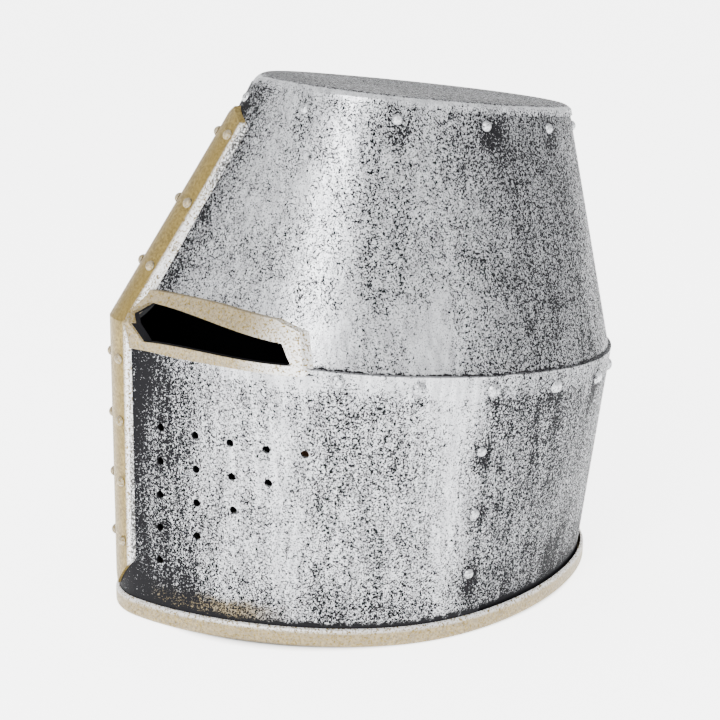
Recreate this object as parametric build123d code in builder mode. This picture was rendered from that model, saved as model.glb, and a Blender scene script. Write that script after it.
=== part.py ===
"""Crusader great helm: five riveted plates, brass cross and rim, quilted liner and buckled chin straps.

Millimetres. +Z is up, the sights look along -Y and the wearer's left is +X.
The origin is on the ground, under the middle of the helm's length and width.
"""
from build123d import *
from collections import namedtuple
from math import cos, radians, sin
import os

# ---- Shape of the helm at its three levels --------------------------------------------
# Each level is an outline in plan: a round keel in front, a cheek curve, and a full back.
# front, back and half_width are measured from the origin, slope is the plane's fall per mm of Y.
Level = namedtuple("Level", "front keel_radius keel_angle cheek_handle side_handle "
                            "half_width side_y back fullness height slope")
CROWN = Level(62.0, 27.5, 15, 56.5, 44, 73.3, 18.3, 121.3, 0.56, 288.7, -0.102)
WAIST = Level(143.6, 18.5, 47, 55.5, 106.5, 118.2, -2.0, 148.7, 0.575, 154.9, -0.099)
FOOT = Level(144.4, 27.7, 30.5, 46, 55.5, 99.5, 1.9, 142.4, 0.46, 10.9, 0)
HANDLE_GROWTH = 0.55         # a curve's handles grow by this share of an offset, as a round's do

# ---- Plates ----------------------------------------------------------------------------
PLATE = 1.6
LAP_GAP = 0.1                # paint and fit between two plates that lap
LAYER = PLATE + LAP_GAP      # one plate deeper or prouder
REAR_UPPER, MIDDLE, FRONT_LOWER, CROWN_FLANGE = -1, 0, 1, -2
SEAM_Y = 31                  # side seam, where the front plates lap over the rear ones
SEAM_LEAN = 0.247            # the upper seam leans back by this much per mm of height
SEAM_LAP = 22
WAIST_FLANGE = 15            # the upper plates reach this far down behind the lower ones
FLANGE_FALL = 0.035          # and this much further down per mm of Y
PLATE_BOTTOM = 2.4           # the plates stand on the floor of the rim channel

# ---- Crown -----------------------------------------------------------------------------
CROWN_SIDE = 5.5             # visible height of the crown's own side
CROWN_JOINT = 0.02           # its lower edge nearly touches the plates below
CROWN_ROUND = 4.8
CROWN_ROUND_STEPS = 6
CROWN_SPREAD = 0.5           # how far the sides lean out below the crown, per mm of height
CROWN_OUTER = -0.6
CROWN_THICKNESS = 1.8
CROWN_FLANGE_DEPTH = 22

# ---- Sights, breaths and brass -----------------------------------------------------------
SIGHT = [(12, 173), (17.8, 180.2), (92, 172.6), (100, 163), (20.4, 159.6)]
SIGHT_BORDER = [(8, 186), (54, 185.5), (84, 183.2), (95, 178.5), (104.6, 160.5),
                (102.6, 157.8), (70, 156.2), (39, 154.2), (8, 155.4)]
BORDER_OUTER = 2.7
BAR = [(0, 279), (16.8, 269), (14.8, 228), (15, 183), (11.3, 173), (14.6, 158), (16.4, 34), (0, 14)]
BAR_OUTER = 3.3
BREATH_RADIUS = 2.2
BREATH_START = 35.3          # first column, along the waist outline from the keel
BREATH_PITCH = 22.3
BREATH_COLUMNS = 5
BREATH_TOP = 114
BREATH_ROW = 19
RIM_OUTER = 3.8
RIM_INNER = -3.4
RIM_HEIGHT = 10.9
RIM_ROUND = 2.4
RIM_SLOT = (-1.8, 1.9)       # channel in the rim that takes the plate edges

# ---- Rivets ------------------------------------------------------------------------------
SHANK_RADIUS = 1.6
HOLE_RADIUS = 1.65
TAIL_RADIUS = 2.7
TAIL_HEIGHT = 1.1
TAIL_GAP = 0.3               # a flat tail stands off a hollow face by this much
HEAD_GAP = 0.15              # and a flat-bottomed head off the brass, which isn't quite flat
SMALL_HEAD = (2.9, 2.0)      # head radius and height
LARGE_HEAD = (3.9, 2.6)
CROWN_RIVETS = (44.5, 92, 139.5, 187, 234)          # along the crown outline from the keel
CROWN_RIVET_DROP = 11.6
WAIST_RIVETS = (142.5, 184, 226.5, 273, 320, 362)   # on each side, and one more at the back
WAIST_RIVET_DROP = 4.9       # the first one's, and each next one is lower by the step
WAIST_RIVET_STEP = 1.6
SEAM_RIVET_Y = 22
SEAM_RIVET_HEIGHTS = (110, 73, 36.5)
BAR_RIVET_X = 9
BAR_RIVETS_UPPER = (265, 230, 197.5)
BAR_RIVETS_LOWER = (148, 113, 78, 43)

# ---- Liner ---------------------------------------------------------------------------------
LEATHER = 2.4
TOP_BAND_OUTER = -5.1
TOP_BAND = (7.5, 20)         # from and to, below the crown
QUILT_OUTER, QUILT_INNER = -4.3, -16.2
QUILT_TOP = 24               # below the crown
QUILT_BOTTOM = 22            # above the waist
CROWN_PAD_OUTER = -11
CROWN_PAD = (2.3, 13)        # from and to, below the crown
SWEATBAND_OUTER = -16.4
SWEATBAND = (18, 44)         # from and to, above the waist
BAND_SEAMS = (-45, 45)       # each half of the band is pieced from three strips, sewn at these Ys

# ---- Chin straps -----------------------------------------------------------------------------
STRAP_Y = WAIST.side_y
STRAP_WIDTH = 16
STRAP_THICKNESS = 2.2
STRAP_CLEARANCE = 0.35
HANGER_TOP, HANGER_BEND, HANGER_BOTTOM = 197, 178, 160
HANGER_THICKNESS = 1.5
HANGER_RIVET_Y = 5           # each side of the hanger's middle
HANGER_RIVET_HEIGHT = 189
PIVOT_HEIGHT = 168
PIVOT_RADIUS = 2.0
PIVOT_HEAD = (4.0, 1.6)
RUNNING_FIT = 0.05
EYELET_RADIUS = 4.0
RIGHT_STRAP_END = 36
STRAP_HOLE_RADIUS = 1.9
STRAP_HOLE_PITCH = 12
STRAP_HOLES = 5
HEEL_HEIGHT = 52             # the bar that the left strap folds round
WIRE_RADIUS = 1.5
LOOP_INNER, LOOP_OUTER = 1.9, 4.1
FOLD_TOP = 88                # the strap's folded end is sewn up to here
FRAME_WIDTH, FRAME_HEIGHT = 24, 21
FRAME_CORNER = 4
FRAME_EDGE = 1.0
PRONG_EYE_RADIUS = 3.2
PRONG_EYE_WIDTH = 3.6
PRONG_RADIUS = 1.2
PRONG_SLOT = 5
PRONG_LEAN = 0.6             # the prong stands this much nearer the bar at its eye
SEAT_GAP = 0.4               # flat metal stands off the curved band by this much
EDGE_ROUND = 1.2
KEEPER_HEIGHT, KEEPER_WIDTH, KEEPER_WALL = 72, 9, 1.8

REACH = 400                  # longer than the helm, for cutting shapes


# ---- Helpers ---------------------------------------------------------------------------------
def level_plane(level, rise=0):
    """Plane of a level, or one parallel to it that is higher or lower."""
    return Plane(origin=(0, 0, level.height + rise), x_dir=(1, 0, 0), z_dir=(0, -level.slope, 1))


def level_height(level, y):
    return level.height + level.slope * y


def half_curves(level, offset, side):
    """Keel end, cheek curve and back curve of one side of an outline."""
    angle = radians(level.keel_angle)
    radius = level.keel_radius + offset
    keel_end = (side * radius * sin(angle), level.keel_radius - level.front - radius * cos(angle))
    cheek_handle = level.cheek_handle + HANDLE_GROWTH * offset
    side_handle = level.side_handle + HANDLE_GROWTH * offset
    widest = level.half_width + offset
    back = level.back + offset
    cheek = [keel_end,
             (keel_end[0] + side * cheek_handle * cos(angle), keel_end[1] + cheek_handle * sin(angle)),
             (side * widest, level.side_y - side_handle),
             (side * widest, level.side_y)]
    rear = [(side * widest, level.side_y),
            (side * widest, level.side_y + level.fullness * (back - level.side_y)),
            (side * widest * level.fullness, back),
            (0, back)]
    return keel_end, cheek, rear


def outline(level, offset=0):
    """Face of a level's outline, made in the sketch that calls it."""
    left_keel, left_cheek, left_rear = half_curves(level, offset, 1)
    right_keel, right_cheek, right_rear = half_curves(level, offset, -1)
    keel = Edge.make_three_point_arc(left_keel, (0, -level.front - offset), right_keel)
    make_face([Edge.make_bezier(*reversed(left_rear)), Edge.make_bezier(*reversed(left_cheek)), keel,
               Edge.make_bezier(*right_cheek), Edge.make_bezier(*right_rear)])


def skin(offset):
    """Solid whose sides stand this far outside the helm's base surface."""
    with BuildPart() as solid:
        for level in (CROWN, WAIST, FOOT):
            with BuildSketch(level_plane(level)):
                outline(level, offset)
        with BuildSketch(Plane.XY.offset(PLATE_BOTTOM)):
            outline(FOOT, offset)
        loft(ruled=True)
    return solid.part


def outside(layer):
    return layer * LAYER


def inside(layer):
    return layer * LAYER - PLATE


def shell(outer, inner):
    """Wall between two skins, in the part that calls it."""
    add(skins[outer])
    add(skins[inner], mode=Mode.SUBTRACT)


def keep_between(low, high):
    split(bisect_by=high, keep=Keep.BOTTOM)
    split(bisect_by=low, keep=Keep.TOP)


def between(offset, low, high):
    """Slice of a skin between two planes parallel to the crown, given by their rise from it."""
    below = skins[offset].split(level_plane(CROWN, high), keep=Keep.BOTTOM) if high < 0 else skins[offset]
    return below.split(level_plane(CROWN, low), keep=Keep.TOP)


def skin_plane(offset, start, direction):
    """Plane on a skin where a line from inside leaves it, its Z pointing outwards."""
    hits = skins[offset].find_intersection_points(Axis(start, direction))
    ahead = Vector(*direction)
    point, normal = max(hits, key=lambda hit: (hit[0] - Vector(*start)).dot(ahead))
    return Plane(origin=point, z_dir=normal if normal.dot(ahead) > 0 else normal * -1)


def depth_to(offset, plane):
    """Distance from a plane's origin, straight inwards, to a skin inside it."""
    hits = skins[offset].find_intersection_points(Axis(plane.origin, plane.z_dir * -1))
    return min((hit[0] - plane.origin).length for hit in hits)


def half_wire(level):
    """Left half of a level's outline in plan, from the keel to the back."""
    keel_end, cheek, rear = half_curves(level, 0, 1)
    half_angle = radians(level.keel_angle / 2)
    centre_y = level.keel_radius - level.front
    middle = (level.keel_radius * sin(half_angle), centre_y - level.keel_radius * cos(half_angle))
    keel = Edge.make_three_point_arc((0, -level.front), middle, keel_end)
    return Wire([keel, Edge.make_bezier(*cheek), Edge.make_bezier(*rear)])


def along(level, distance):
    """Point in plan at a distance from the keel."""
    return half_wire(level).position_at(distance, position_mode=PositionMode.LENGTH)


def towards(level, distance, side, drop):
    """Line from the helm's middle to a point on a level's outline, lowered by drop."""
    point = along(level, distance)
    height = level_height(level, point.Y) - drop
    return (0, level.side_y, height), (side * point.X, point.Y - level.side_y, 0)


def both_sides(lines):
    """The lines, and the same mirrored to the wearer's right."""
    flipped = [((-start[0],) + start[1:], (-way[0],) + way[1:]) for start, way in lines]
    return lines + flipped


def rivet(plane, head, grip, radius=SHANK_RADIUS):
    """Domed rivet, its head seated on the plane and its tail closed behind the stack."""
    head_radius, head_height = head
    section = Plane(origin=plane.origin, x_dir=plane.x_dir, z_dir=plane.y_dir * -1)
    with BuildSketch(section) as half:
        with BuildLine():
            TangentArc((0, head_height), (head_radius, 0), tangent=(1, 0))
            Polyline((head_radius, 0), (radius, 0), (radius, -grip), (TAIL_RADIUS, -grip),
                     (TAIL_RADIUS, -grip - TAIL_HEIGHT), (0, -grip - TAIL_HEIGHT), (0, head_height))
        make_face()
    revolve(half.sketch, axis=Axis(plane.origin, plane.z_dir))


def drill(planes, radius=HOLE_RADIUS, depth=30):
    """Holes through the part at hand, square to the planes."""
    with Locations(*[plane.location for plane in planes]):
        Cylinder(radius, depth, mode=Mode.SUBTRACT)


def front_prism(points, mode):
    """Prism of an outline seen from the front, running forward from the helm's middle."""
    with BuildSketch(Plane.XZ) as front:
        with BuildLine():
            Polyline(*points, close=True)
        make_face()
    extrude(front.sketch, amount=REACH / 2, dir=(0, -1, 0), mode=mode)


def mirrored(points):
    return [(-x, z) for x, z in points]


def finish(builder, name):
    builder.part.label = name
    export_step(builder.part, f"parts/{name}.step")


# ---- Skins and planes that the plates share ---------------------------------------------------
skins = {offset: skin(offset) for offset in (
    outside(REAR_UPPER), inside(REAR_UPPER), outside(MIDDLE), inside(MIDDLE),
    outside(FRONT_LOWER), inside(FRONT_LOWER), outside(CROWN_FLANGE), inside(CROWN_FLANGE),
    outside(MIDDLE) + LAP_GAP, outside(FRONT_LOWER) + LAP_GAP, CROWN_OUTER, BAR_OUTER, BORDER_OUTER,
    TOP_BAND_OUTER, TOP_BAND_OUTER - LEATHER, QUILT_OUTER, QUILT_INNER, CROWN_PAD_OUTER,
    SWEATBAND_OUTER, SWEATBAND_OUTER - LEATHER)}

upper_seam = Plane(origin=(0, SEAM_Y, level_height(WAIST, SEAM_Y)), x_dir=(1, 0, 0),
                   z_dir=(0, 1, -SEAM_LEAN))
lower_seam = Plane(origin=(0, SEAM_Y, 0), x_dir=(1, 0, 0), z_dir=(0, 1, 0))
upper_lap = upper_seam.offset(-SEAM_LAP)
lower_lap = lower_seam.offset(-SEAM_LAP)
plate_top = level_plane(CROWN, -CROWN_SIDE)
flange_edge = Plane(origin=(0, 0, WAIST.height - WAIST_FLANGE), x_dir=(1, 0, 0),
                    z_dir=(0, FLANGE_FALL - WAIST.slope, 1))
waist_edge = level_plane(WAIST)
plate_foot = Plane.XY.offset(PLATE_BOTTOM)


# ---- Where the rivets go ------------------------------------------------------------------------
def seat(line, front_layer, rear_layer):
    """Plane of a rivet head, on the front plate's face ahead of the seam, on the rear one's behind."""
    plane = skin_plane(outside(front_layer), *line)
    seam_y = SEAM_Y + SEAM_LEAN * max(0, plane.origin.Z - WAIST.height)
    if plane.origin.Y > seam_y:
        plane = skin_plane(outside(rear_layer), *line)
    return plane


crown_lines = [towards(CROWN, distance, 1, CROWN_RIVET_DROP) for distance in CROWN_RIVETS]
crown_lines = both_sides(crown_lines) + [towards(CROWN, 0, 1, CROWN_RIVET_DROP)]
crown_seats = [seat(line, MIDDLE, REAR_UPPER) for line in crown_lines]

waist_lines = [towards(WAIST, distance, 1, WAIST_RIVET_DROP + WAIST_RIVET_STEP * i)
               for i, distance in enumerate(WAIST_RIVETS)]
waist_lines = both_sides(waist_lines)
back_drop = WAIST_RIVET_DROP + WAIST_RIVET_STEP * len(WAIST_RIVETS)
waist_lines.append(((0, 0, level_height(WAIST, WAIST.back) - back_drop), (0, 1, 0)))
waist_seats = [seat(line, FRONT_LOWER, MIDDLE) for line in waist_lines]

left_seam_lines = [((0, SEAM_RIVET_Y, height), (1, 0, 0)) for height in SEAM_RIVET_HEIGHTS]
left_seam_seats = [skin_plane(outside(FRONT_LOWER), *line) for line in left_seam_lines]
right_seam_seats = [skin_plane(outside(FRONT_LOWER), *line) for line in both_sides(left_seam_lines)[3:]]
seam_seats = left_seam_seats + right_seam_seats

upper_bar_seats = [skin_plane(BAR_OUTER, (x, 0, height), (0, -1, 0)).offset(HEAD_GAP)
                   for height in BAR_RIVETS_UPPER for x in (-BAR_RIVET_X, BAR_RIVET_X)]
lower_bar_seats = [skin_plane(BAR_OUTER, (x, 0, height), (0, -1, 0)).offset(HEAD_GAP)
                   for height in BAR_RIVETS_LOWER for x in (-BAR_RIVET_X, BAR_RIVET_X)]

breath_lines = []
for row in range(BREATH_COLUMNS):
    for column in range(BREATH_COLUMNS - row):
        aim = along(WAIST, BREATH_START + BREATH_PITCH * column)
        height = BREATH_TOP - BREATH_ROW * row
        breath_lines.append(((0, WAIST.side_y, height), (aim.X, aim.Y - WAIST.side_y, 0)))
breath_seats = [skin_plane(outside(FRONT_LOWER), *line) for line in both_sides(breath_lines)]


hanger_rivet_seats = {side: [skin_plane(SWEATBAND_OUTER - LEATHER, (0, STRAP_Y + y, HANGER_RIVET_HEIGHT),
                                        (way, 0, 0)) for y in (-HANGER_RIVET_Y, HANGER_RIVET_Y)]
                      for side, way in (("left", 1), ("right", -1))}
all_hanger_seats = hanger_rivet_seats["left"] + hanger_rivet_seats["right"]


# ---- Plates -------------------------------------------------------------------------------------
with BuildPart() as upper_rear_plate:
    shell(outside(REAR_UPPER), inside(REAR_UPPER))
    keep_between(flange_edge, plate_top)
    split(bisect_by=upper_lap, keep=Keep.TOP)
    drill(crown_seats + waist_seats)
finish(upper_rear_plate, "upper_rear_plate")

with BuildPart() as upper_front_plate:
    shell(outside(MIDDLE), inside(MIDDLE))
    keep_between(flange_edge, plate_top)
    split(bisect_by=upper_seam, keep=Keep.BOTTOM)
    front_prism(SIGHT, Mode.SUBTRACT)
    front_prism(mirrored(SIGHT), Mode.SUBTRACT)
    drill(crown_seats + waist_seats + upper_bar_seats)
finish(upper_front_plate, "upper_front_plate")

with BuildPart() as lower_rear_plate:
    shell(outside(MIDDLE), inside(MIDDLE))
    keep_between(plate_foot, waist_edge)
    split(bisect_by=lower_lap, keep=Keep.TOP)
    # the lap's upper corner is notched, so that the stack under the waist is three plates at most
    with BuildSketch(Plane.YZ):
        with Locations((SEAM_Y + 1, level_height(WAIST, SEAM_Y) - WAIST_FLANGE - FLANGE_FALL * SEAM_Y - 1)):
            Rectangle(REACH, REACH, align=(Align.MAX, Align.MIN))
    extrude(amount=REACH, both=True, mode=Mode.SUBTRACT)
    drill(waist_seats + seam_seats)
finish(lower_rear_plate, "lower_rear_plate")

with BuildPart() as lower_front_plate:
    shell(outside(FRONT_LOWER), inside(FRONT_LOWER))
    keep_between(plate_foot, waist_edge)
    split(bisect_by=lower_seam, keep=Keep.BOTTOM)
    front_prism(SIGHT, Mode.SUBTRACT)
    front_prism(mirrored(SIGHT), Mode.SUBTRACT)
    drill(waist_seats + seam_seats + lower_bar_seats)
    drill(breath_seats, BREATH_RADIUS)
finish(lower_front_plate, "lower_front_plate")

# The crown's own side is flush with the plates, and its flange drops inside them.
with BuildPart() as crown_edge:
    for step in range(CROWN_ROUND_STEPS + 1):
        turn = radians(90 * step / CROWN_ROUND_STEPS)
        drop = CROWN_ROUND * (1 - sin(turn))
        with BuildSketch(level_plane(CROWN, -drop)):
            outline(CROWN, CROWN_OUTER - CROWN_ROUND * (1 - cos(turn)) + CROWN_SPREAD * drop)
    loft(ruled=True)

with BuildPart() as crown_plate:
    add(skins[CROWN_OUTER])
    keep_between(level_plane(CROWN, -CROWN_ROUND), level_plane(CROWN))
    add(crown_edge.part, mode=Mode.INTERSECT)
    add(between(CROWN_OUTER, -CROWN_SIDE + CROWN_JOINT, -CROWN_ROUND))
    add(between(outside(CROWN_FLANGE), -CROWN_FLANGE_DEPTH, -CROWN_SIDE / 2))
    add(between(inside(CROWN_FLANGE), -REACH / 4, -CROWN_THICKNESS), mode=Mode.SUBTRACT)
    drill(crown_seats)
finish(crown_plate, "crown_plate")

# ---- Brass ------------------------------------------------------------------------------------
# The brass lies on two plates of different heights, so its back is stepped at the waist.
with BuildPart() as backing:
    add(skins[outside(FRONT_LOWER) + LAP_GAP])
    split(bisect_by=waist_edge.offset(LAP_GAP), keep=Keep.BOTTOM)
    add(skins[outside(MIDDLE) + LAP_GAP])

with BuildPart() as cross_bar:
    add(skins[BAR_OUTER])
    add(backing.part, mode=Mode.SUBTRACT)
    front_prism(BAR + mirrored(BAR[-2:0:-1]), Mode.INTERSECT)
    drill(upper_bar_seats + lower_bar_seats)
finish(cross_bar, "cross_bar")

for side, points in (("left", SIGHT_BORDER), ("right", mirrored(SIGHT_BORDER))):
    with BuildPart() as sight_border:
        add(skins[BORDER_OUTER])
        add(backing.part, mode=Mode.SUBTRACT)
        front_prism(points, Mode.INTERSECT)
        front_prism(BAR + mirrored(BAR[-2:0:-1]), Mode.SUBTRACT)
        front_prism(SIGHT if side == "left" else mirrored(SIGHT), Mode.SUBTRACT)
    finish(sight_border, f"{side}_sight_border")

with BuildPart() as rim_slot:
    with BuildSketch(Plane.XY.offset(PLATE_BOTTOM - LAP_GAP)):
        outline(FOOT, RIM_SLOT[1])
    extrude(amount=RIM_HEIGHT)
    with BuildSketch(Plane.XY.offset(PLATE_BOTTOM - LAP_GAP)):
        outline(FOOT, RIM_SLOT[0])
    extrude(amount=RIM_HEIGHT, mode=Mode.SUBTRACT)

with BuildPart() as rim_binding:
    with BuildSketch():
        outline(FOOT, RIM_OUTER)
    extrude(amount=RIM_HEIGHT)
    fillet(rim_binding.edges().filter_by(Plane.XY), RIM_ROUND)
    with BuildSketch():
        outline(FOOT, RIM_INNER)
    extrude(amount=RIM_HEIGHT, mode=Mode.SUBTRACT)
    add(rim_slot.part, mode=Mode.SUBTRACT)
finish(rim_binding, "rim_binding")

# ---- Rivets -------------------------------------------------------------------------------------
with BuildPart() as crown_rivets:
    for place in crown_seats:
        rivet(place, SMALL_HEAD, depth_to(TOP_BAND_OUTER - LEATHER, place) + TAIL_GAP)
finish(crown_rivets, "crown_rivets")

with BuildPart() as waist_rivets:
    for place in waist_seats:
        deepest = MIDDLE if place.origin.Y < SEAM_Y - SEAM_LAP else REAR_UPPER
        rivet(place, LARGE_HEAD, depth_to(inside(deepest), place) + TAIL_GAP)
finish(waist_rivets, "waist_rivets")

for side, places in (("left", left_seam_seats), ("right", right_seam_seats)):
    with BuildPart() as seam_rivets:
        for place in places:
            rivet(place, SMALL_HEAD, depth_to(inside(MIDDLE), place) + TAIL_GAP)
    finish(seam_rivets, f"{side}_seam_rivets")

with BuildPart() as cross_rivets:
    for place in upper_bar_seats:
        rivet(place, SMALL_HEAD, depth_to(inside(MIDDLE), place) + TAIL_GAP)
    for place in lower_bar_seats:
        rivet(place, SMALL_HEAD, depth_to(inside(FRONT_LOWER), place) + TAIL_GAP)
finish(cross_rivets, "cross_rivets")

# ---- Liner ----------------------------------------------------------------------------------------
with BuildPart() as liner_top_band:
    shell(TOP_BAND_OUTER, TOP_BAND_OUTER - LEATHER)
    keep_between(level_plane(CROWN, -TOP_BAND[1]), level_plane(CROWN, -TOP_BAND[0]))
    drill(crown_seats)
finish(liner_top_band, "liner_top_band")

# The quilted cap and its leather band are sewn up in front and behind from a left and a right half.
tail_pockets = [Plane(origin=place.origin + place.z_dir * (LEATHER + LAP_GAP), z_dir=place.z_dir)
                for place in all_hanger_seats]
front_seam, rear_seam = [Plane(origin=(0, y, 0), x_dir=(1, 0, 0), z_dir=(0, 1, 0)) for y in BAND_SEAMS]
band_strips = {"front": [(front_seam, Keep.BOTTOM)],
               "side": [(front_seam, Keep.TOP), (rear_seam, Keep.BOTTOM)],
               "rear": [(rear_seam, Keep.TOP)]}
for side, keep in (("left", Keep.TOP), ("right", Keep.BOTTOM)):
    with BuildPart() as liner_half:
        shell(QUILT_OUTER, QUILT_INNER)
        keep_between(level_plane(WAIST, QUILT_BOTTOM), level_plane(CROWN, -QUILT_TOP))
        split(bisect_by=Plane.YZ, keep=keep)
        drill(tail_pockets, TAIL_RADIUS + SEAT_GAP, 2 * (TAIL_HEIGHT + SEAT_GAP))
    finish(liner_half, f"{side}_quilted_liner")

    for strip, cuts in band_strips.items():
        with BuildPart() as band_strip:
            shell(SWEATBAND_OUTER, SWEATBAND_OUTER - LEATHER)
            keep_between(level_plane(WAIST, SWEATBAND[0]), level_plane(WAIST, SWEATBAND[1]))
            split(bisect_by=Plane.YZ, keep=keep)
            for seam, kept in cuts:
                split(bisect_by=seam, keep=kept)
            drill(all_hanger_seats)
        finish(band_strip, f"{side}_{strip}_sweatband")

with BuildPart() as crown_pad:
    add(skins[CROWN_PAD_OUTER])
    keep_between(level_plane(CROWN, -CROWN_PAD[1]), level_plane(CROWN, -CROWN_PAD[0]))
finish(crown_pad, "crown_pad")

# ---- Chin straps ------------------------------------------------------------------------------------
# Each hanger is riveted to the sweatband and turned down to a plumb leg, where a strap pivots.
band_x = skin_plane(SWEATBAND_OUTER - LEATHER, (0, STRAP_Y, HANGER_BEND), (1, 0, 0)).origin.X - LAP_GAP
band_top_x = skin_plane(SWEATBAND_OUTER - LEATHER, (0, STRAP_Y, HANGER_TOP), (1, 0, 0)).origin.X - LAP_GAP
leg_x = band_x - SEAT_GAP
leg_inner_x = leg_x - HANGER_THICKNESS
strap_outer_x = leg_inner_x - STRAP_CLEARANCE
strap_inner_x = strap_outer_x - STRAP_THICKNESS
strap_middle_x = (strap_outer_x + strap_inner_x) / 2
pivot_head_x = strap_inner_x - STRAP_CLEARANCE
heel_x = strap_inner_x


def make_hanger(side):
    """Bent strip of steel: a foot against the sweatband and a plumb leg with the pivot's hole."""
    profile = [(leg_x, HANGER_BOTTOM), (leg_x, HANGER_BEND), (band_top_x - SEAT_GAP, HANGER_TOP),
               (band_top_x - SEAT_GAP - HANGER_THICKNESS, HANGER_TOP), (leg_inner_x, HANGER_BEND),
               (leg_inner_x, HANGER_BOTTOM)]
    with BuildPart() as hanger:
        with BuildSketch(Plane.XZ.offset(-STRAP_Y)):
            with BuildLine():
                Polyline(*[(side * x, z) for x, z in profile], close=True)
            make_face()
        extrude(amount=STRAP_WIDTH / 2, both=True)
        with BuildSketch(Plane.YZ):
            with Locations((STRAP_Y, PIVOT_HEIGHT)):
                Circle(PIVOT_RADIUS + RUNNING_FIT)
        extrude(amount=side * REACH, mode=Mode.SUBTRACT)
        drill(hanger_rivet_seats["left" if side > 0 else "right"])
    return hanger


def make_pivot(side):
    """Brass rivet through a hanger's leg and a strap's eye, headed at both ends."""
    head_radius, head_height = PIVOT_HEAD
    ends = ((leg_x, head_height), (pivot_head_x - head_height, head_height))
    with BuildPart() as pivot:
        for x, length in ends:
            with BuildSketch(Plane.YZ.offset(side * x)):
                with Locations((STRAP_Y, PIVOT_HEIGHT)):
                    Circle(head_radius)
            extrude(amount=side * length)
        with BuildSketch(Plane.YZ.offset(side * pivot_head_x)):
            with Locations((STRAP_Y, PIVOT_HEIGHT)):
                Circle(PIVOT_RADIUS)
        extrude(amount=side * (leg_x - pivot_head_x))
        inner_edge = pivot.edges().filter_by(GeomType.CIRCLE).sort_by(Axis.X)[0 if side > 0 else -1]
        fillet(inner_edge, EDGE_ROUND)
    return pivot


def make_eyelet(side):
    """Brass bush in a strap's eye, which turns on the pivot."""
    with BuildPart() as eyelet:
        with BuildSketch(Plane.YZ.offset(side * strap_inner_x)):
            with Locations((STRAP_Y, PIVOT_HEIGHT)):
                Circle(EYELET_RADIUS)
                Circle(PIVOT_RADIUS + RUNNING_FIT, mode=Mode.SUBTRACT)
        extrude(amount=side * STRAP_THICKNESS)
    return eyelet


def strap_blank(side, bottom):
    """Flat strap with a round top about its pivot, open at the eye, in the part that calls it."""
    with BuildSketch(Plane.YZ.offset(side * strap_inner_x)) as blank:
        with Locations((STRAP_Y, PIVOT_HEIGHT)):
            Circle(STRAP_WIDTH / 2)
            Rectangle(STRAP_WIDTH, PIVOT_HEIGHT - bottom, align=(Align.CENTER, Align.MAX))
            Circle(EYELET_RADIUS + RUNNING_FIT, mode=Mode.SUBTRACT)
    extrude(blank.sketch, amount=side * STRAP_THICKNESS)


for side_name, way in (("left", 1), ("right", -1)):
    finish(make_hanger(way), f"{side_name}_strap_hanger")
    finish(make_pivot(way), f"{side_name}_strap_pivot")
    finish(make_eyelet(way), f"{side_name}_strap_eyelet")
    with BuildPart() as hanger_rivets:
        for place in hanger_rivet_seats[side_name]:
            front = Plane(origin=place.origin - place.z_dir * (HANGER_THICKNESS + SEAT_GAP),
                          x_dir=place.x_dir, z_dir=place.z_dir * -1)
            rivet(front, SMALL_HEAD, HANGER_THICKNESS + SEAT_GAP + LEATHER + TAIL_GAP)
    finish(hanger_rivets, f"{side_name}_hanger_rivets")

# The left strap's end is folded round the buckle's heel bar and sewn back on itself.
with BuildPart() as left_chin_strap:
    strap_blank(1, HEEL_HEIGHT + LOOP_OUTER / 2)
    with BuildSketch(Plane.XZ.offset(-STRAP_Y)):
        with Locations((strap_inner_x, HEEL_HEIGHT)):
            Circle(LOOP_OUTER)
            Rectangle(2 * STRAP_THICKNESS, FOLD_TOP - HEEL_HEIGHT, align=(Align.CENTER, Align.MIN))
            Circle(LOOP_INNER, mode=Mode.SUBTRACT)
    extrude(amount=STRAP_WIDTH / 2, both=True)
    with Locations((heel_x, STRAP_Y, HEEL_HEIGHT)):
        Box(3 * LOOP_OUTER, PRONG_SLOT, 2 * PRONG_SLOT + LOOP_OUTER, mode=Mode.SUBTRACT)
finish(left_chin_strap, "left_chin_strap")

with BuildPart() as strap_keeper:
    with BuildSketch(Plane.XY.offset(KEEPER_HEIGHT)):
        with Locations((strap_inner_x, STRAP_Y)):
            Rectangle(2 * (STRAP_THICKNESS + KEEPER_WALL), STRAP_WIDTH + 2 * KEEPER_WALL)
            Rectangle(2 * STRAP_THICKNESS + LAP_GAP, STRAP_WIDTH + LAP_GAP, mode=Mode.SUBTRACT)
    extrude(amount=KEEPER_WIDTH)
finish(strap_keeper, "strap_keeper")

with BuildPart() as right_chin_strap:
    strap_blank(-1, RIGHT_STRAP_END + STRAP_WIDTH / 2)
    with BuildSketch(Plane.YZ.offset(-strap_inner_x)):
        with Locations((STRAP_Y, RIGHT_STRAP_END + STRAP_WIDTH / 2)):
            Circle(STRAP_WIDTH / 2)
    extrude(amount=-STRAP_THICKNESS)
    with BuildSketch(Plane.YZ):
        for i in range(STRAP_HOLES):
            with Locations((STRAP_Y, RIGHT_STRAP_END + STRAP_WIDTH + STRAP_HOLE_PITCH * i)):
                Circle(STRAP_HOLE_RADIUS)
    extrude(amount=-REACH, mode=Mode.SUBTRACT)
finish(right_chin_strap, "right_chin_strap")

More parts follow.
